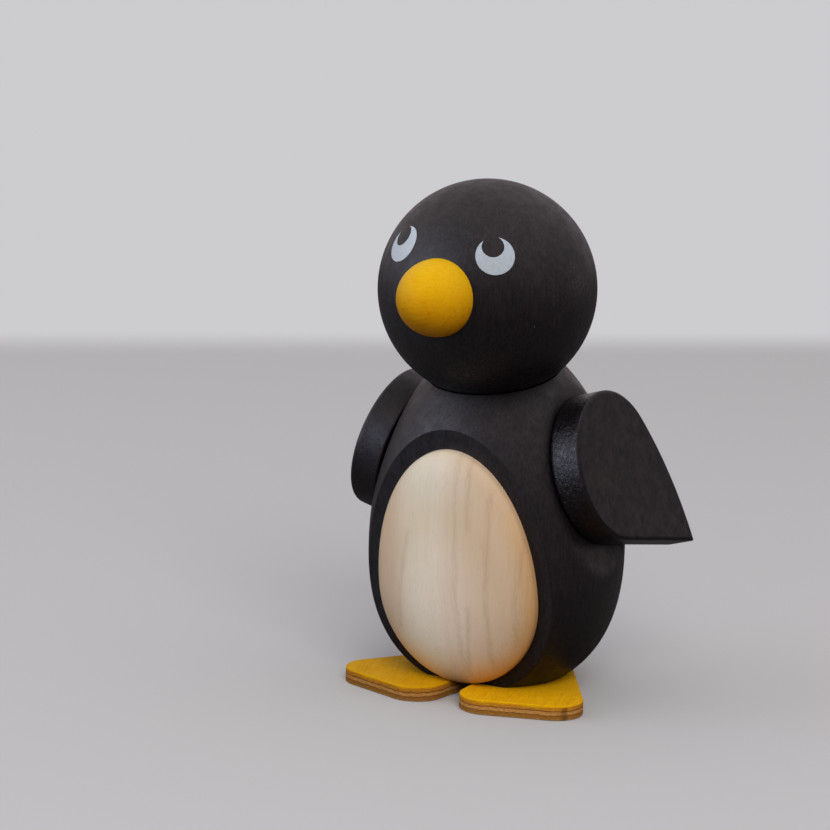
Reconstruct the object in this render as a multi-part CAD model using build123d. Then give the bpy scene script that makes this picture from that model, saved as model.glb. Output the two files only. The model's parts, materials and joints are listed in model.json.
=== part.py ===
from build123d import *
import os
from math import acos, cos, degrees, radians, sin, sqrt

# A turned wooden penguin that stands on two plywood feet. Lengths are in millimetres, angles in degrees.
# It faces -Y, its own left is +X, and the soles of its feet lie at z = 0.

# Head: a turned ball, set forward of the body's axis and turned a little to the figure's left
head_radius = 25.0
head_sink = 13.5
head_forward = 8.2
head_turn_angle = 1.6

# Body: an egg turned about the vertical, widest at the waist
body_radius = 29.9
body_upper_length = 48.9
body_lower_length = 34.3
body_underside_cut = 3.8
upper_power_share = 1.93
lower_power_share = 2.41
neck_gap = 0.3

# Flat cut on the front of the body, leaning forward at the top, and the domed panel glued on it
front_cut_depth = 11.5
front_lean_angle = 9.2
front_cut_edge_round = 0.4
belly_drop = 8.4
belly_side_rim = 3.08
belly_top_rim = 4.7
belly_bottom_rim = 0.2
belly_dome = 6.9
belly_wall = 1.0

# Beak: half of a stretched ball, on a short straight skirt and a spigot
beak_radius = 8.7
beak_length = 11.0
beak_skirt = 1.0
beak_elevation_angle = 0.6
beak_spigot_radius = 3.0
beak_spigot_length = 8.0

# Eyes: thin pale discs, each with a round bite out of its edge for a pupil that looks up and aside
eye_radius = 4.34
eye_azimuth_angle = 31.1
eye_elevation_angle = 25.0
print_roll_angle = 2.3
print_turn_angle = -0.8
pupil_radius = 2.49
pupil_opening = 0.3
pupil_aside_angle = 22.6
pupil_spread_angle = 9.5
eye_film = 0.12
eye_film_gap = 0.01

# Wings: teardrop slabs on flat cuts at the sides of the body, with a bulged upper side
wing_radius = 17.3
wing_thickness = 7.5
wing_reach = 34.55
wing_bulge_angle = 12.4
wing_droop_angle = 39.7
wing_lean_angle = 16.5
wing_splay_angle = 2.6
wing_seat_depth = 4.0
wing_seat_back = 1.65
wing_seat_rise = 19.7
wing_edge_round = 0.9
wing_inner_edge_round = 0.4
wing_cut_edge_round = 7.0
wing_gap = 0.3

# Dowel and pins, glued in the body, with a running fit in the piece that turns
neck_dowel_radius = 4.0
neck_dowel_in_body = 15.0
neck_dowel_in_head = 14.0
wing_pin_radius = 2.5
wing_pin_in_body = 12.0
wing_pin_in_wing = 4.2
pin_end_gap = 0.3
running_clearance = 0.05
glue_clearance = 0.02

# Feet: rounded triangles of three-ply board, a long side to the front
foot_thickness = 3.5
foot_corner_radius = 6.8
foot_front_half = 7.4
foot_length = 29.5
foot_toe_out_angle = 18.4
foot_front_out = 16.75
foot_front_forward = 16.6
foot_edge_round = 0.3

# Size of the blocks that make flat cuts, past every piece
overrun = 4 * body_radius

# The egg's outline runs through points that are this far apart, as many above its widest place as below
outline_step_angle = 13
outline_steps = 6
quarter_turn_angle = 90

FROM_BASE = (Align.CENTER, Align.CENTER, Align.MIN)


def direction(azimuth, elevation):
    """Unit vector at an azimuth from straight ahead towards the figure's left, and an elevation."""
    flat = cos(radians(elevation))
    return Vector(flat * sin(radians(azimuth)), -flat * cos(radians(azimuth)), sin(radians(elevation)))


def on_side(vector, side):
    """A place or direction of the figure's left side (1), or its mirror image on the right (-1)."""
    return Vector(side * vector.X, vector.Y, vector.Z)


def rod(start, along, radius, length):
    """Round rod from start, along a direction."""
    return Plane(origin=start, z_dir=along) * Cylinder(radius, length, align=FROM_BASE)


def half_space(origin, normal):
    """Large block on the outer side of a plane, for flat cuts."""
    return Plane(origin=origin, z_dir=normal) * Box(overrun, overrun, overrun, align=FROM_BASE)


def egg_radius(rise):
    """Radius of the body's egg at a height above its widest place, or below it if negative."""
    power = upper_power_share if rise > 0 else lower_power_share
    length = body_upper_length if rise > 0 else body_lower_length
    return body_radius * (1 - min(abs(rise) / length, 1) ** power) ** (1 / power)


def flat_front_length(way, limit):
    """How far the flat front runs from its middle, one way along its slope, before it leaves the egg."""
    near, far = 0, limit
    for _ in range(40):
        middle = (near + far) / 2
        place = front_point + way * middle
        if egg_radius(place.Z - waist_height) > -place.Y:
            near = middle
        else:
            far = middle
    return near


# Places and directions that several pieces share
waist_height = foot_thickness + body_lower_length - body_underside_cut
head_height = waist_height + body_upper_length + head_radius - head_sink
head_centre = Vector(0, -head_forward, head_height)
dish_radius = head_radius + neck_gap
dish_bottom = head_centre - Vector(0, 0, dish_radius)
front_normal = direction(0, -front_lean_angle)
front_up = direction(0, quarter_turn_angle - front_lean_angle)
front_cut_distance = body_radius - front_cut_depth
front_point = Vector(0, -front_cut_distance, waist_height)
wing_axis = direction(quarter_turn_angle - wing_splay_angle, wing_lean_angle)
wing_rear = direction(2 * quarter_turn_angle - wing_splay_angle, 0)
wing_seat_out = egg_radius(wing_seat_rise) - wing_seat_depth
wing_seat = Vector(wing_seat_out, wing_seat_back, waist_height + wing_seat_rise)
wing_centre = wing_seat + wing_axis * (wing_gap + wing_thickness)
beak_axis = direction(head_turn_angle, beak_elevation_angle)

# The belly panel leaves a rim of the flat front bare around it
belly_centre = front_point - front_up * belly_drop
belly_half_width = sqrt(body_radius**2 - front_cut_distance**2) - belly_side_rim
belly_upper_length = flat_front_length(front_up, body_upper_length) + belly_drop - belly_top_rim
underside_length = (waist_height - foot_thickness) / front_up.Z
belly_lower_length = underside_length - belly_drop - belly_bottom_rim

# The beak meets the head's ball in a circle, this far from the head's centre, and its skirt goes on inwards
beak_line = sqrt(head_radius**2 - beak_radius**2)
beak_seat = beak_line - beak_skirt
beak_reach = beak_line + beak_length

# The model stands with the middle of its length over the origin
front_reach = head_forward - (beak_axis * beak_reach).Y
set_back = (front_reach - body_radius) / 2


def egg_point(angle):
    """Point of the egg's outline at an angle from its widest place, 90 at the top."""
    power = upper_power_share if angle > 0 else lower_power_share
    length = body_upper_length if angle > 0 else -body_lower_length
    out = body_radius * cos(radians(angle)) ** (2 / power)
    rise = length * abs(sin(radians(angle))) ** (2 / power)
    return Vector(out, 0, waist_height + rise)


def make_body():
    """Egg with flat cuts for wings, feet and belly, blind holes for the pins, and a dish for the head."""
    outline = [egg_point(step * outline_step_angle) for step in range(-outline_steps, outline_steps + 1)]
    ends = Polyline(outline[-1], Vector(0, 0, outline[-1].Z), Vector(0, 0, outline[0].Z), outline[0])
    egg = revolve(make_face(Spline(*outline) + ends), Axis.Z)
    # The egg's seam lies at the back, clear of the flat cuts
    solid = Rot(0, 0, quarter_turn_angle) * egg
    for side in (1, -1):
        axis = on_side(wing_axis, side)
        seat = on_side(wing_seat, side)
        solid -= half_space(seat, axis)
        flat = solid.faces().sort_by(Axis(seat, axis))[-1]
        solid = fillet(flat.outer_wire().edges(), wing_cut_edge_round)
        solid -= rod(seat, -axis, wing_pin_radius + glue_clearance, wing_pin_in_body)
    solid -= half_space(Vector(0, 0, foot_thickness), Vector(0, 0, -1))
    solid -= half_space(front_point, front_normal)
    front = solid.faces().sort_by(Axis(front_point, front_normal))[-1]
    solid = fillet(front.edges().sort_by(SortBy.LENGTH)[-1], front_cut_edge_round)
    solid -= Pos(*head_centre) * Sphere(dish_radius)
    bore_length = dish_radius + neck_dowel_in_body
    solid -= rod(head_centre, Vector(0, 0, -1), neck_dowel_radius + glue_clearance, bore_length)
    return solid


def make_belly_panel():
    """Egg-shaped dome on a low wall, trimmed level with the underside of the body."""
    upper = EllipticalCenterArc((0, 0), belly_half_width, belly_upper_length, arc_size=quarter_turn_angle)
    lower = EllipticalCenterArc((0, 0), belly_half_width, belly_lower_length, arc_size=-quarter_turn_angle)
    half = make_face(upper + lower + Line((0, belly_upper_length), (0, -belly_lower_length)))
    dome = scale(revolve(half, Axis.Y), by=(1, 1, belly_dome / belly_half_width))
    dome = split(dome, bisect_by=Plane.XY, keep=Keep.TOP)
    wall = extrude(half + mirror(half, about=Plane.YZ), belly_wall)
    panel = Pos(0, 0, belly_wall) * dome + wall
    panel = Plane(origin=belly_centre, x_dir=(1, 0, 0), z_dir=front_normal) * panel
    return panel - half_space(Vector(0, 0, foot_thickness), Vector(0, 0, -1))


def make_head():
    """Ball with a shallow round seat for the beak, its spigot's hole, and the hole for the neck dowel."""
    solid = Pos(*head_centre) * Sphere(head_radius)
    seat = head_centre + beak_axis * beak_seat
    solid -= rod(seat, beak_axis, beak_radius + running_clearance, beak_length)
    solid -= rod(seat, -beak_axis, beak_spigot_radius + glue_clearance, beak_spigot_length)
    bore_length = neck_gap + neck_dowel_in_head + pin_end_gap
    solid -= rod(dish_bottom, Vector(0, 0, 1), neck_dowel_radius + running_clearance, bore_length)
    return solid


def make_beak():
    """Half of a stretched ball on a straight skirt that sits in the head, with its spigot."""
    ball = scale(Sphere(beak_radius), by=(1, 1, beak_length / beak_radius))
    dome = split(ball, bisect_by=Plane.XY, keep=Keep.TOP)
    seat = head_centre + beak_axis * beak_seat
    skirt = rod(seat, beak_axis, beak_radius, beak_skirt)
    spigot = rod(seat, -beak_axis, beak_spigot_radius, beak_spigot_length)
    return Plane(origin=head_centre + beak_axis * beak_line, z_dir=beak_axis) * dome + skirt + spigot


def head_direction(azimuth, elevation):
    """Direction on the face, with the slight roll and turn of the print and the turn of the head."""
    turn = head_turn_angle + print_turn_angle
    return direction(azimuth, elevation).rotate(Axis.Y, print_roll_angle).rotate(Axis.Z, turn)


def make_eye(side):
    """Thin film on the ball: a disc with a round bite that opens upwards."""
    inner = head_radius + eye_film_gap
    film = Sphere(inner + eye_film) - Sphere(inner)
    axis = head_direction(side * eye_azimuth_angle, eye_elevation_angle)
    up = (Vector(0, 0, 1) - axis * axis.Z).normalized()
    aside = radians(side * pupil_spread_angle - pupil_aside_angle)
    way = up * cos(aside) + up.cross(axis) * sin(aside)
    pupil_shift = eye_radius + pupil_opening - pupil_radius
    disc = rod((0, 0, 0), axis, eye_radius, overrun)
    pupil = rod(way * pupil_shift, axis, pupil_radius, overrun)
    return Pos(*head_centre) * ((film & disc) - pupil)


def make_neck_dowel():
    """Dowel glued in the body, on which the head turns."""
    length = neck_dowel_in_body + neck_gap + neck_dowel_in_head
    return rod(dish_bottom - Vector(0, 0, neck_dowel_in_body), Vector(0, 0, 1), neck_dowel_radius, length)


def make_wing(side):
    """Teardrop slab with rounded edges and a blind hole for its pin."""
    spread = degrees(acos(wing_radius / wing_reach))
    bulge = wing_bulge_angle + spread - wing_droop_angle

    def rim(angle, radius):
        return (radius * cos(radians(angle)), radius * sin(radians(angle)))

    tip = rim(-wing_droop_angle, wing_reach)
    above = rim(bulge, wing_radius)
    below = rim(-wing_droop_angle - spread, wing_radius)
    front = rim(2 * quarter_turn_angle - wing_droop_angle, wing_radius)
    outline = TangentArc(above, tip, tangent=rim(bulge - quarter_turn_angle, wing_radius))
    outline += ThreePointArc(above, front, below) + Line(below, tip)
    slab = extrude(make_face(outline), -wing_thickness)
    faces = slab.faces().sort_by(Axis.Z)
    slab = fillet(faces[-1].edges(), wing_edge_round)
    slab = fillet(slab.faces().sort_by(Axis.Z)[0].edges(), wing_inner_edge_round)
    hole_depth = wing_pin_in_wing + pin_end_gap
    slab -= rod((0, 0, -wing_thickness), (0, 0, 1), wing_pin_radius + running_clearance, hole_depth)
    wing = Plane(origin=wing_centre, x_dir=wing_rear, z_dir=wing_axis) * slab
    return wing if side > 0 else mirror(wing, about=Plane.YZ)


def make_wing_pin(side):
    """Pin glued in the body, on which the wing turns."""
    axis = on_side(wing_axis, side)
    length = wing_pin_in_body + wing_gap + wing_pin_in_wing
    return rod(on_side(wing_seat, side) - axis * wing_pin_in_body, axis, wing_pin_radius, length)


def make_foot(side):
    """Rounded triangle of plywood with slightly softened edges."""
    heel = (0, foot_length)
    corners = Polyline((-foot_front_half, 0), (foot_front_half, 0), heel, close=True)
    outline = offset(make_face(corners), amount=foot_corner_radius, kind=Kind.ARC)
    slab = extrude(outline, foot_thickness)
    faces = slab.faces().sort_by(Axis.Z)
    slab = fillet(faces[-1].edges() + faces[0].edges(), foot_edge_round)
    return Pos(side * foot_front_out, -foot_front_forward, 0) * Rot(0, 0, side * foot_toe_out_angle) * slab


pieces = {
    "body": make_body(),
    "belly_panel": make_belly_panel(),
    "head": make_head(),
    "beak": make_beak(),
    "left_eye": make_eye(1),
    "right_eye": make_eye(-1),
    "neck_dowel": make_neck_dowel(),
    "left_wing": make_wing(1),
    "right_wing": make_wing(-1),
    "left_wing_pin": make_wing_pin(1),
    "right_wing_pin": make_wing_pin(-1),
    "left_foot": make_foot(1),
    "right_foot": make_foot(-1),
}

os.makedirs("parts", exist_ok=True)
for node, piece in pieces.items():
    placed = Pos(0, set_back, 0) * piece
    export_step(placed, f"parts/{node}.step")
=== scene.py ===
import json
from math import cos, radians, sin

import bmesh
import bpy
from mathutils import Matrix, Vector


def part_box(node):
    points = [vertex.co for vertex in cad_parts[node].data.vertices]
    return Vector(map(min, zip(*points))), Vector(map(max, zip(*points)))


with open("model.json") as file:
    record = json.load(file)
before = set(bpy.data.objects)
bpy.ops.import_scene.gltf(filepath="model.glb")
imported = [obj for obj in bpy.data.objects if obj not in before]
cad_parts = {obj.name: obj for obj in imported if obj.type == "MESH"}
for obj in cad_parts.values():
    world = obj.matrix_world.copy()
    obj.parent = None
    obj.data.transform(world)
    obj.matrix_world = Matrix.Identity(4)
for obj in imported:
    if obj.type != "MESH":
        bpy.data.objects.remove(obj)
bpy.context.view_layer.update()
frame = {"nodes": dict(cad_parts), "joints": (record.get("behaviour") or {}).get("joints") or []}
nodes = frame["nodes"]

# Lengths are in metres. In the materials they are in millimetres of the figure's own frame, and the scales
# of noises and cells are per millimetre.
MM = 0.001


def srgb(red, green, blue):
    """Linear colour of an 8-bit display colour."""
    def linear(value):
        value = value / 255
        return value / 12.92 if value <= 0.04045 else ((value + 0.055) / 1.055) ** 2.4
    return (linear(red), linear(green), linear(blue), 1.0)


# Camera: where it stands, the point that it looks at, and how far it leans
camera_place = Vector((0.3078, -0.55494, 0.1726))
camera_aim = Vector((-0.0171, -0.00374, 0.0636))
camera_roll = radians(1.54)
camera_lens = 121.45
camera_clip = 0.01
film_width = 36.0

# Floor: its reach in front, to the sides and behind, the width of its fade into the wall, its turn about
# the upright axis in degrees, and its colour to the camera and to the figure
floor_near = 2.5
floor_side = 2.5
floor_far = 0.64
floor_fade = 0.12
floor_turn = 40.9
floor_colour = (0.47, 0.46, 0.46, 1.0)
floor_bounce = (0.10, 0.095, 0.09, 1.0)

# Light of the room below the horizon and overhead, and the heights of a direction between which it grows
room_low = (0.0, 0.0, 0.0, 1.0)
room_high = (0.83, 0.83, 0.85, 1.0)
room_rise = (-0.05, 0.75)

# Wall behind the figure: its colour to the camera, its light on the figure, the cosines between which it
# fades in towards its middle, and the heights of a direction between which it starts above the floor
wall_colour = srgb(205, 204, 206)
wall_glow = (0.68, 0.61, 0.62, 1.0)
wall_spread = (0.35, 0.75)
wall_foot = (-0.03, 0.03)

# Lamps: name, azimuth from straight ahead towards the figure's left, elevation, size, watts, colour, and
# whether the lamp lights surfaces and whether it shines in their gloss
lamp_aim = Vector((0, 0, 0.06))
lamp_distance = 1.6
lamps = (
    ("window", -58, 18, 0.9, 5.8, (0.86, 0.97, 1.12), True, True),
    ("key", 40, 35, 0.9, 15.5, (1.0, 1.0, 1.0), True, False),
    ("sheen", -30, 12, 0.9, 7.5, (0.78, 0.97, 1.26), False, True),
    ("sheen", 88, 10, 0.9, 1.2, (1.0, 0.95, 0.95), False, True),
    ("sheen", 138, 5, 0.3, 0.7, (1.0, 0.90, 0.88), False, True),
)

# Tint of the sheen on the black and on the yellow pieces
black_sheen = (1.0, 0.90, 0.93, 1.0)
yellow_sheen = (1.0, 0.75, 0.25, 1.0)

# What differs between the left and the right piece of a pair. The knot is a dark upright mark on a foot's
# edge, at a place across and along.
wing_polish = {"left": 0.16, "right": 0.03}
# The right foot's lower brightness is painted shade
foot_painted_shade = {"left": 1.0, "right": 0.85}
foot_knot = {"left": (28.9, -12.24), "right": None}
# The eyes' brightness differs as painted light and shade: the left one a little darker, the right one
# lighter
eye_painted_light = {"left": 0.96, "right": 1.14}

# Turn of the grain on the wings, in degrees about each axis
wing_grain = (40, 0, 0)

# Bare wood of the dowels
dowel_colour = srgb(190, 160, 120)


class Nodes:
    """A node tree that is built up one node at a time."""

    def __init__(self, tree):
        self.tree = tree

    def new(self, kind):
        return self.tree.nodes.new("ShaderNode" + kind)

    def put(self, socket, value):
        """Links an output to a socket, or sets the socket's own value."""
        if isinstance(value, bpy.types.NodeSocket):
            self.tree.links.new(value, socket)
        else:
            socket.default_value = value

    def math(self, operation, first, second=0.0):
        node = self.new("Math")
        node.operation = operation
        self.put(node.inputs[0], first)
        self.put(node.inputs[1], second)
        return node.outputs[0]

    def add(self, first, *others):
        for other in others:
            first = self.math("ADD", first, other)
        return first

    def times(self, first, *others):
        for other in others:
            first = self.math("MULTIPLY", first, other)
        return first

    def less(self, first, second):
        return self.math("SUBTRACT", first, second)

    def over(self, first, second):
        return self.math("DIVIDE", first, second)

    def square(self, value):
        return self.math("POWER", value, 2.0)

    def absolute(self, value):
        return self.math("ABSOLUTE", value)

    def above_zero(self, value):
        return self.math("MAXIMUM", value, 0.0)

    def shift(self, noise, width):
        """A noise, whose middle is 0.5, as a shift about zero."""
        return self.times(self.less(noise, 0.5), width)

    def vectors(self, operation, first, second):
        """Outputs of a node of vector math: a vector and, under Value, a number."""
        node = self.new("VectorMath")
        node.operation = operation
        self.put(node.inputs[0], first)
        self.put(node.inputs[1], second)
        return node.outputs

    def part(self, vector, axis):
        """One coordinate of a vector, or one channel of a colour."""
        node = self.new("SeparateXYZ")
        self.put(node.inputs[0], vector)
        return node.outputs[axis]

    def ramp(self, value, low, high, start=0.0, end=1.0):
        """Smooth step of a value between two limits."""
        node = self.new("MapRange")
        node.interpolation_type = "SMOOTHSTEP"
        self.put(node.inputs["Value"], value)
        node.inputs["From Min"].default_value = low
        node.inputs["From Max"].default_value = high
        node.inputs["To Min"].default_value = start
        node.inputs["To Max"].default_value = end
        return node.outputs["Result"]

    def mix(self, factor, first, second, blend="MIX"):
        node = self.new("Mix")
        node.data_type = "RGBA"
        node.blend_type = blend
        self.put(node.inputs["Factor"], factor)
        self.put(node.inputs["A"], first)
        self.put(node.inputs["B"], second)
        return node.outputs["Result"]

    def tint(self, factor, base, colour):
        return self.mix(factor, base, colour, "MULTIPLY")

    def to_camera(self):
        return self.new("LightPath").outputs["Is Camera Ray"]


class Surface(Nodes):
    """A material with one shader, whose textures lie in the figure's frame."""

    def __init__(self, name, roughness, specular, sheen=(1.0, 1.0, 1.0, 1.0)):
        self.material = bpy.data.materials.new(name)
        self.material.use_nodes = True
        super().__init__(self.material.node_tree)
        self.shader = self.tree.nodes["Principled BSDF"]
        self.shader.inputs["Roughness"].default_value = roughness
        self.shader.inputs["Specular IOR Level"].default_value = specular
        self.shader.inputs["Specular Tint"].default_value = sheen
        scale = self.new("VectorMath")
        scale.operation = "SCALE"
        scale.inputs["Scale"].default_value = 1 / MM
        self.put(scale.inputs[0], self.new("TexCoord").outputs["Object"])
        self.place = scale.outputs["Vector"]

    def stretch(self, scale, turn=(0, 0, 0)):
        """The place, turned by degrees about each axis and then scaled along each axis."""
        turned = self.new("Mapping")
        turned.inputs["Rotation"].default_value = [radians(angle) for angle in turn]
        self.put(turned.inputs["Vector"], self.place)
        node = self.new("Mapping")
        node.inputs["Scale"].default_value = scale
        self.put(node.inputs["Vector"], turned.outputs[0])
        return node.outputs[0]

    def noise(self, vector, detail, roughness, scale=1.0, distortion=0.0):
        node = self.new("TexNoise")
        self.put(node.inputs["Vector"], vector)
        node.inputs["Scale"].default_value = scale
        node.inputs["Detail"].default_value = detail
        node.inputs["Roughness"].default_value = roughness
        node.inputs["Distortion"].default_value = distortion
        return node.outputs["Fac"]

    def cells(self, vector, scale=1.0):
        """Outputs of a texture of cells: Distance from each one's middle, and its own Color."""
        node = self.new("TexVoronoi")
        self.put(node.inputs["Vector"], vector)
        node.inputs["Scale"].default_value = scale
        return node.outputs

    def relief(self, height, depth):
        """Bump from a height of 0 to 1, where 1 stands for a depth in millimetres."""
        node = self.new("Bump")
        node.inputs["Distance"].default_value = depth * MM
        self.put(node.inputs["Height"], height)
        self.put(self.shader.inputs["Normal"], node.outputs[0])

    def colour(self, value):
        self.put(self.shader.inputs["Base Color"], value)

    def rough(self, value):
        self.put(self.shader.inputs["Roughness"], value)

    def gloss(self, value):
        self.put(self.shader.inputs["Specular IOR Level"], value)


# Black stain: its colours beside the fibres, on them, in clouds and in pores, and the dust on it
stain_deep = (0.0014, 0.0009, 0.0012, 1.0)
stain_pale = (0.0060, 0.0036, 0.0044, 1.0)
stain_warm = (0.0110, 0.0055, 0.0045, 1.0)
stain_pore = (0.0015, 0.0010, 0.0012, 1.0)
dust_colour = (0.20, 0.20, 0.21, 1.0)
stain_depth = 0.07

# Gloss of the stain between its dullest and brightest fibres, and how it fades near the table: the heights
# between which it does, and what is left of it at the lower one
stain_gloss = (0.43, 0.57)
fade_heights = (5.0, 22.0)
fade_rest = 0.35

# Wings: how far from the faces the rim's finish starts and is full, the height of its saw marks for each
# unit of polish, and the share of the gloss on the faces and on the rim, with its growth for each unit
rim_starts = 0.2
rim_full = 0.7
saw_height = 24.0
face_gloss = 0.64
rim_gloss = 0.75
rim_gloss_growth = 1.5


def stained_wood(name, turn=(0, 0, 0), rim=None, polish=0.0):
    """Satin black stain on turned wood, with the fibres and pores showing a little.

    turn is the grain's, in degrees. rim is the centre of a slab, the way across it and half its thickness,
    and saw marks show between its faces. polish says how much smoother the stain lies there.
    """
    s = Surface(name, 0.5, 0.50, black_sheen)
    fibres = s.noise(s.stretch((2.2, 2.2, 0.16), turn), 5.0, 0.6)
    fine = s.noise(s.stretch((8.0, 8.0, 1.6), turn), 3.0, 0.6)
    cloud = s.noise(s.stretch((0.07, 0.07, 0.05)), 4.0, 0.6)
    pore = s.ramp(s.cells(s.stretch((3.0, 3.0, 0.45), turn))["Distance"], 0.08, 0.22)
    base = s.mix(s.ramp(fibres, 0.30, 0.70), stain_deep, stain_pale)
    base = s.mix(s.ramp(cloud, 0.50, 0.78, 0.0, 0.55), base, stain_warm)
    base = s.mix(s.ramp(pore, 0.0, 1.0, 0.5, 0.0), base, stain_pore)
    specks = s.cells(s.place, 0.30)
    dust = s.ramp(specks["Distance"], 0.040, 0.018)
    chosen = s.ramp(s.part(specks["Color"], 0), 0.88, 0.90)
    s.colour(s.mix(s.times(dust, chosen), base, dust_colour))
    rough = s.ramp(s.noise(s.place, 4.0, 0.6, 0.35), 0.3, 0.7, 0.43, 0.57)
    gloss = s.ramp(s.add(fibres, s.noise(s.place, 4.0, 0.7, 0.9)), 0.75, 1.25, *stain_gloss)
    height = s.add(s.times(fine, 0.30), s.times(pore, 0.30), s.times(fibres, 0.40))
    if rim:
        centre, way, half = rim
        outwards = s.vectors("DOT_PRODUCT", s.vectors("SUBTRACT", s.place, centre)[0], way)["Value"]
        on_rim = s.ramp(s.absolute(outwards), half - rim_starts, half - rim_full)
        saw = s.times(s.noise(s.stretch((1.3, 1.3, 0.8)), 4.0, 0.65, distortion=0.5), on_rim)
        height = s.add(height, s.times(saw, saw_height * polish))
        rough = s.less(rough, s.times(on_rim, polish))
        full = rim_gloss + rim_gloss_growth * polish
        gloss = s.times(gloss, s.ramp(on_rim, 0.0, 1.0, face_gloss, full))
    s.gloss(s.times(gloss, s.ramp(s.part(s.place, 2), *fade_heights, fade_rest, 1.0)))
    s.rough(rough)
    s.relief(height, stain_depth)
    return s.material


# Belly: its colours on the figure's right and left, the left one warmer and partly painted shade, on its
# fibres and in its flecks and brown lines
belly_pale = srgb(229, 212, 185)
belly_warm_and_shade = srgb(218, 189, 158)
belly_fibre = srgb(200, 166, 132)
belly_brown = srgb(150, 92, 58)
belly_depth = 0.03

# The places across between which it turns warmer and darker, partly the wood's tone and partly painted
# shade, the ones where its other edge does, and how far the bands of the grain move these places
warm_shade_places = (-7.0, 11.0)
edge_shade_places = (-8.0, -16.0)
band_width = 14.0

# Brown lines in its grain: place across the belly at the grain's level, lean, half width, strength, lowest
# and highest point. They fade out at both ends, and all sway together.
grain_level = 34.0
grain_fade = 4.0
grain_sway = 2.6
grain_lines = (
    (3.6, -0.01, 1.25, 0.15, 6, 62),
    (7.0, -0.03, 1.10, 0.17, 40, 62),
    (11.2, 0.02, 1.20, 0.21, 7, 53),
    (8.0, 0.12, 1.00, 0.19, 4, 26),
    (-10.1, 0.15, 1.20, 0.13, 14, 42),
    (17.9, 0.06, 1.40, 0.13, 14, 46),
)

# Its widest place's height, and the tint towards its rim, which is at 1 on a scale from its middle: a
# slightly warmer rim of the wood, but mostly painted shade and a painted yellow reflection of the feet,
# strongest low on the figure's left
belly_middle = 25.7
shade_rim_reach = (0.55, 1.05)
shade_rim_tint = (0.84, 0.62, 0.34, 1.0)

# Painted highlight, a paler and cooler patch low on the belly: its middle across and upwards, its half
# width and half height, and its tint
highlight_across, highlight_level = 0.5, 24.5
highlight_width, highlight_height = 15.0, 21.0
highlight_tint = (1.17, 1.21, 1.34, 1.0)

# Tints of its upper and lower end: where they start and are full, the upper one's as shares of the height
# above the widest place. The cooler top is painted cool light from above, and the warmer, darker bottom is
# painted shade with a painted yellow reflection of the feet
upper_light_reach = (0.45, 0.9)
upper_light_tint = (0.90, 0.94, 1.0, 1.0)
lower_shade_reach = (15.0, 8.0)
lower_shade_tint = (0.98, 0.90, 0.78, 1.0)


def natural_wood(name):
    """Pale bare wood with upright grain and a few brown lines, under painted shade, a painted highlight,
    painted cool light and painted reflections of the feet.
    """
    s = Surface(name, 0.42, 0.42)
    bands = s.noise(s.stretch((0.20, 0.05, 0.008)), 3.0, 0.55, distortion=0.2)
    fibres = s.noise(s.stretch((2.4, 2.4, 0.05)), 4.0, 0.6)
    fleck = s.ramp(s.cells(s.stretch((1.6, 1.6, 0.22)))["Distance"], 0.05, 0.20)
    across = s.part(s.place, 0)
    height = s.part(s.place, 2)

    band = s.shift(bands, band_width)
    # Warmer and darker towards the figure's left and towards the other edge: partly the wood's tone,
    # partly painted shade
    base = s.mix(s.ramp(s.add(across, band), *warm_shade_places), belly_pale, belly_warm_and_shade)
    edge = s.ramp(s.add(across, s.times(band, 0.3)), *edge_shade_places, 0.0, 0.9)
    base = s.mix(edge, base, belly_warm_and_shade)
    base = s.mix(s.ramp(fibres, 0.35, 0.75, 0.0, 0.18), base, belly_fibre)
    base = s.mix(s.ramp(fleck, 0.0, 1.0, 0.14, 0.0), base, belly_brown)

    sway = s.shift(s.noise(s.stretch((0.0, 0.0, 0.055)), 3.0, 0.6), grain_sway)
    for place, lean, width, strength, bottom, top in grain_lines:
        middle = s.add(s.times(height, lean), place - lean * grain_level)
        off = s.absolute(s.less(s.less(across, middle), sway))
        line = s.times(
            s.ramp(off, width, 0.0, 0.0, strength),
            s.ramp(height, bottom, bottom + grain_fade),
            s.ramp(height, top, top - grain_fade),
            s.ramp(fibres, 0.30, 0.60, 0.45, 1.0),
        )
        base = s.mix(line, base, belly_brown)

    # How far out a point lies, as shares of the way to the rim, and how far towards the lower left
    low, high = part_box("belly_panel")
    rise = s.less(height, belly_middle)
    wide = s.over(across, (high[0] - low[0]) / 2 / MM)
    up = s.over(s.above_zero(rise), high[2] / MM - belly_middle)
    down = s.over(s.above_zero(s.times(rise, -1.0)), belly_middle - low[2] / MM)
    out = s.add(s.square(wide), s.square(up), s.square(down))
    lower_left = s.less(s.add(s.times(wide, 0.6), s.times(down, 0.7)), s.times(up, 0.5))
    # Painted shade and a painted yellow reflection of the feet towards the rim, strongest low on the
    # figure's left, over a slightly warmer rim of the wood
    rim = s.ramp(s.add(out, s.shift(fibres, 0.25)), *shade_rim_reach)
    rim = s.times(rim, s.ramp(lower_left, -0.5, 0.9, 0.1, 1.0))
    base = s.tint(rim, base, shade_rim_tint)

    # Painted highlight: a paler, cooler patch low on the belly
    off = s.add(
        s.square(s.over(s.less(across, highlight_across), highlight_width)),
        s.square(s.over(s.less(height, highlight_level), highlight_height)),
    )
    base = s.tint(s.ramp(off, 1.0, 0.0), base, highlight_tint)
    # Painted cool light on the top, and painted shade with a painted yellow reflection of the feet at the
    # bottom
    base = s.tint(s.ramp(up, *upper_light_reach), base, upper_light_tint)
    s.colour(s.tint(s.ramp(height, *lower_shade_reach), base, lower_shade_tint))
    s.rough(s.ramp(fibres, 0.3, 0.7, 0.38, 0.48))
    s.relief(s.add(s.times(fibres, 0.7), s.times(fleck, 0.3)), belly_depth)
    return s.material


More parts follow.
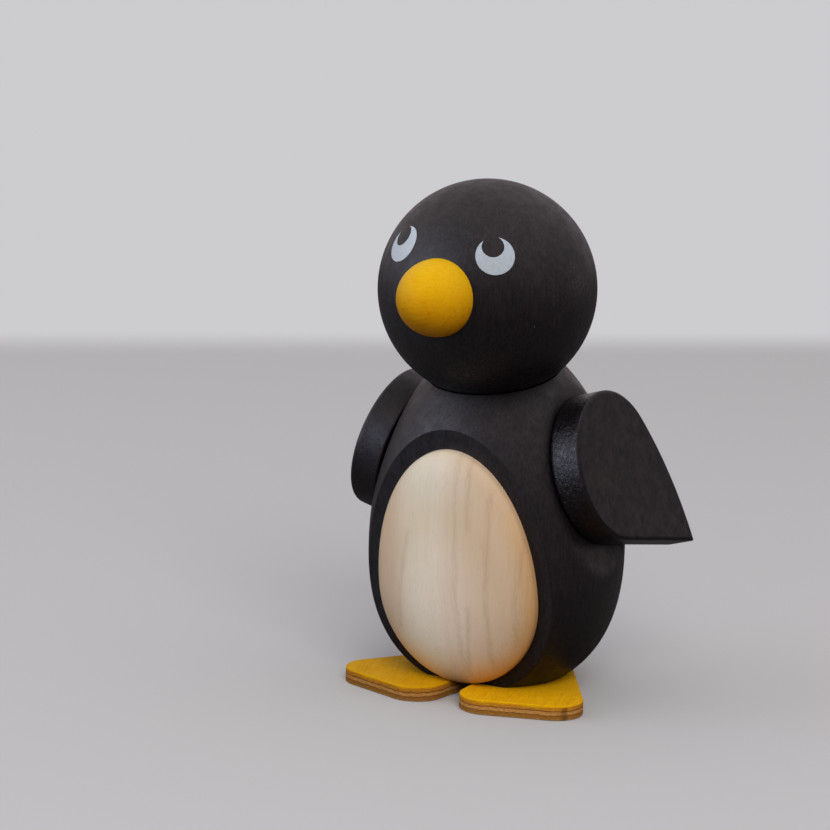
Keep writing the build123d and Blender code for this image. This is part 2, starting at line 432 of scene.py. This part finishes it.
# Lacquer of the beak: its colours at the bottom, at the top, on the fibres and in the streaks, and how far
# its mottling moves the first two up and down. The orange bottom is painted shade, and so is the darkness
# of the grain streaks low down
lacquer_shaded_low = (0.745, 0.305, 0.003, 1.0)
lacquer_high = (0.700, 0.420, 0.006, 1.0)
lacquer_fibre = (0.620, 0.250, 0.002, 1.0)
lacquer_shaded_streak = (0.560, 0.195, 0.002, 1.0)
lacquer_sway = 6.0
lacquer_depth = 0.07


def lacquer(name):
    """Warm yellow over turned wood, with faint grain across it, turning orange low down as painted shade,
    with a few darker grain streaks there.
    """
    s = Surface(name, 0.45, 0.10, yellow_sheen)
    fibres = s.noise(s.stretch((0.35, 3.0, 3.0)), 5.0, 0.65)
    mottle = s.noise(s.place, 4.0, 0.6, 0.55)
    streaks = s.noise(s.stretch((0.16, 1.1, 1.1), (0, 8, 0)), 4.0, 0.65)
    low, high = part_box("beak")
    level = s.add(s.part(s.place, 2), s.shift(mottle, lacquer_sway))
    level = s.ramp(level, low[2] / MM, high[2] / MM)
    # Orange lower down: painted shade
    base = s.mix(level, lacquer_shaded_low, lacquer_high)
    base = s.mix(s.ramp(fibres, 0.35, 0.70, 0.0, 0.6), base, lacquer_fibre)
    # Grain streaks, darkened low down as painted shade
    streaks = s.times(s.ramp(streaks, 0.46, 0.66, 0.0, 0.65), s.ramp(level, 0.75, 0.15))
    s.colour(s.mix(streaks, base, lacquer_shaded_streak))
    s.rough(s.ramp(mottle, 0.3, 0.7, 0.40, 0.52))
    s.relief(s.add(s.times(fibres, 0.7), s.times(mottle, 0.5)), lacquer_depth)
    return s.material


def shaded(s, base, shade):
    """A colour times a brightness, which paints shade onto it below 1 and light above 1."""
    return s.tint(1.0, base, (shade, shade, shade, 1.0))


# Print of the eyes: its colours where it is thick, where it is thin and in its pits
print_thick = (0.43, 0.47, 0.52, 1.0)
print_thin = (0.36, 0.39, 0.43, 1.0)
print_pit = (0.24, 0.25, 0.27, 1.0)
print_depth = 0.03


def print_film(name, shade):
    """Thin grey-white print that lets a little of the wood under it through, brightened or darkened by
    painted light and shade.
    """
    s = Surface(name, 0.55, 0.35)
    mottle = s.noise(s.place, 5.0, 0.65, 1.4)
    pits = s.ramp(s.cells(s.place, 0.9)["Distance"], 0.05, 0.14)
    base = s.mix(s.ramp(mottle, 0.35, 0.75), print_thick, print_thin)
    base = s.mix(s.ramp(pits, 0.0, 1.0, 0.4, 0.0), base, print_pit)
    # Each eye's print is brightened or darkened as painted light and shade
    s.colour(shaded(s, base, shade))
    s.relief(mottle, print_depth)
    return s.material


# Plywood, in heights above the soles: the two glue lines, their softness, how far they wander, where the
# pale lower edge starts and is full, and where the yellow stain ends, with the width of its edge and how
# far it runs down
ply_one = 1.15
ply_two = 2.15
ply_blur = 0.12
ply_wander = 0.65
lower_edge_reach = (0.45, 0.15)
stain_edge = 2.85
stain_blur = 0.25
stain_run = 1.4
ply_depth = 0.06

# Its colours, each beside and on the streaks of the wood: upper, middle and lower ply, and the stain. Then
# its pale lower edge, the glue, and the stain where it lies thicker
upper_ply = ((0.62, 0.250, 0.022, 1.0), (0.36, 0.115, 0.011, 1.0))
middle_ply = ((0.62, 0.300, 0.085, 1.0), (0.34, 0.130, 0.025, 1.0))
lower_ply = ((0.37, 0.160, 0.034, 1.0), (0.22, 0.080, 0.014, 1.0))
yellow_stain = ((0.720, 0.370, 0.0035, 1.0), (0.590, 0.270, 0.0025, 1.0))
lower_edge = (0.60, 0.330, 0.095, 1.0)
glue = (0.10, 0.034, 0.008, 1.0)
thick_stain = (0.52, 0.21, 0.0025, 1.0)

# The glue lines: how far off each starts and is full, and how strong the lower and the upper one are
glue_reach = (0.20, 0.05)
glue_one = 0.55
glue_two = 0.8

# Half width of the knot's mark and of its full part, and how far its outline wanders
knot_width = 1.2
knot_full = 0.3
knot_wander = 1.2


def plywood(name, shade, knot):
    """Three plies on edge, under a yellow stain that runs over the top edge.

    shade is the whole's brightness, painted shade on one foot, and knot the place of a dark upright mark
    on the edge, or None.
    """
    s = Surface(name, 0.7, 0.06, yellow_sheen)
    ragged = s.noise(s.stretch((0.9, 0.9, 0.4)), 4.0, 0.6)
    streaks = s.noise(s.stretch((1.2, 1.2, 9.0)), 4.0, 0.6)
    level = s.add(s.part(s.place, 2), s.shift(ragged, ply_wander))
    plies = (upper_ply, middle_ply, lower_ply)
    upper, middle, lower = (s.mix(s.ramp(streaks, 0.35, 0.7), *ply) for ply in plies)
    lower = s.mix(s.ramp(level, *lower_edge_reach, 0.0, 0.6), lower, lower_edge)
    edge = s.mix(s.ramp(level, ply_one, ply_one + ply_blur), lower, middle)
    edge = s.mix(s.ramp(level, ply_two, ply_two + ply_blur), edge, upper)
    for seam, strength in ((ply_one, glue_one), (ply_two, glue_two)):
        off = s.absolute(s.less(level, seam))
        edge = s.mix(s.ramp(off, *glue_reach, 0.0, strength), edge, glue)
    if knot:
        flat = s.vectors("MULTIPLY", s.place, (1.0, 1.0, 0.0))[0]
        off = s.vectors("DISTANCE", flat, (*knot, 0.0))["Value"]
        off = s.add(off, s.shift(ragged, knot_wander))
        edge = s.mix(s.ramp(off, knot_width, knot_full, 0.0, 0.6), edge, glue)

    grain = s.noise(s.stretch((3.2, 0.25, 3.0), (0, 0, -18)), 4.0, 0.6)
    mottle = s.noise(s.place, 4.0, 0.6, 0.30)
    stain = s.mix(s.ramp(grain, 0.35, 0.75), *yellow_stain)
    stain = s.mix(s.ramp(mottle, 0.45, 0.75, 0.0, 0.35), stain, thick_stain)
    drip = s.shift(s.noise(s.stretch((0.12, 0.12, 0.0)), 3.0, 0.6), stain_run)
    stained = s.ramp(s.add(level, drip), stain_edge, stain_edge + stain_blur)
    # The brightness darkens the whole foot as painted shade
    s.colour(shaded(s, s.mix(stained, edge, stain), shade))
    s.rough(s.ramp(mottle, 0.3, 0.7, 0.62, 0.75))
    s.relief(s.add(s.times(streaks, 0.6), s.times(grain, 0.4)), ply_depth)
    return s.material


def plain(name, colour):
    """One dull colour."""
    s = Surface(name, 0.6, 0.3)
    s.colour(colour)
    return s.material


def wing_slab(side):
    """Centre of a wing's thickness, the way across it, and half its thickness."""
    joint = next(j for j in frame["joints"] if j["name"] == side + "_wing_swing")
    way = Vector(joint["axis"])
    pivot = Vector(joint["pos_m"])
    places = [(vertex.co - pivot).dot(way) for vertex in nodes[side + "_wing"].data.vertices]
    near, far = min(places), max(places)
    centre = pivot + way * (near + far) / 2
    return centre / MM, way, (far - near) / 2 / MM


def paint(node, material):
    """Gives a carried-over node its finish."""
    mesh = nodes[node].data
    mesh.materials.clear()
    mesh.materials.append(material)


def make_stage():
    """Pale floor that ends behind the figure, level with where the photograph's table does."""
    mesh = bmesh.new()
    corners = (
        (-floor_side, -floor_near, 0),
        (floor_side, -floor_near, 0),
        (floor_side, floor_far, 0),
        (-floor_side, floor_far, 0),
    )
    mesh.faces.new([mesh.verts.new(corner) for corner in corners])
    data = bpy.data.meshes.new("floor")
    mesh.to_mesh(data)
    mesh.free()
    floor = bpy.data.objects.new("floor", data)
    bpy.context.scene.collection.objects.link(floor)
    floor.rotation_euler = (0, 0, radians(floor_turn))

    s = Surface("floor_paper", 0.85, 0.15)
    to_camera = s.to_camera()
    s.colour(s.mix(to_camera, floor_bounce, floor_colour))
    edge = s.ramp(s.part(s.place, 1), (floor_far - floor_fade) / MM, (floor_far - floor_fade / 3) / MM)
    glow = s.new("Emission")
    glow.inputs["Color"].default_value = wall_colour
    blend = s.new("MixShader")
    s.put(blend.inputs["Fac"], s.times(edge, to_camera))
    s.put(blend.inputs[1], s.shader.outputs[0])
    s.put(blend.inputs[2], glow.outputs[0])
    s.put(s.tree.nodes["Material Output"].inputs["Surface"], blend.outputs[0])
    data.materials.append(s.material)


def make_world():
    """Soft light that grows from the horizon up, with a plain pale wall behind the figure."""
    world = bpy.data.worlds.new("room")
    world.use_nodes = True
    w = Nodes(world.node_tree)
    way = w.new("TexCoord").outputs["Generated"]
    height = w.part(way, 2)
    light = w.mix(w.ramp(height, *room_rise), room_low, room_high)
    backwards = (-sin(radians(floor_turn)), cos(radians(floor_turn)), 0)
    behind = w.vectors("DOT_PRODUCT", way, backwards)["Value"]
    wall = w.times(w.ramp(behind, *wall_spread), w.ramp(height, *wall_foot))
    light = w.mix(wall, light, wall_glow)
    w.put(w.tree.nodes["Background"].inputs["Color"], w.mix(w.to_camera(), light, wall_colour))
    bpy.context.scene.world = world


def make_lamp(name, azimuth, elevation, size, watts, colour, lights, shines):
    """Square soft lamp that faces the figure."""
    flat = cos(radians(elevation))
    away = Vector((flat * sin(radians(azimuth)), -flat * cos(radians(azimuth)), sin(radians(elevation))))
    data = bpy.data.lights.new(name, "AREA")
    data.shape = "SQUARE"
    data.size = size
    data.energy = watts
    data.color = colour
    lamp = bpy.data.objects.new(name, data)
    bpy.context.scene.collection.objects.link(lamp)
    lamp.location = lamp_aim + away * lamp_distance
    lamp.rotation_euler = away.to_track_quat("Z", "Y").to_euler()
    lamp.visible_diffuse = lights
    lamp.visible_glossy = shines


def make_camera():
    data = bpy.data.cameras.new("camera")
    data.lens = camera_lens
    data.sensor_width = film_width
    data.clip_start = camera_clip
    camera = bpy.data.objects.new("camera", data)
    bpy.context.scene.collection.objects.link(camera)
    aim = (camera_aim - camera_place).to_track_quat("-Z", "Y").to_matrix()
    turn = Matrix.Rotation(camera_roll, 3, "Z")
    camera.matrix_world = Matrix.Translation(camera_place) @ (aim @ turn).to_4x4()
    bpy.context.scene.camera = camera


paint("body", stained_wood("black_body"))
paint("head", stained_wood("black_head"))
for side in ("left", "right"):
    wing = stained_wood("black_wing_" + side, wing_grain, wing_slab(side), wing_polish[side])
    paint(side + "_wing", wing)
    paint(side + "_foot", plywood("plywood_" + side, foot_painted_shade[side], foot_knot[side]))
    paint(side + "_eye", print_film("eye_print_" + side, eye_painted_light[side]))
    paint(side + "_wing_pin", plain("dowel_" + side, dowel_colour))
paint("neck_dowel", plain("dowel_neck", dowel_colour))
paint("belly_panel", natural_wood("belly_wood"))
paint("beak", lacquer("beak_lacquer"))

make_stage()
make_world()
for lamp in lamps:
    make_lamp(*lamp)
make_camera()
bpy.context.scene.view_settings.view_transform = "Standard"
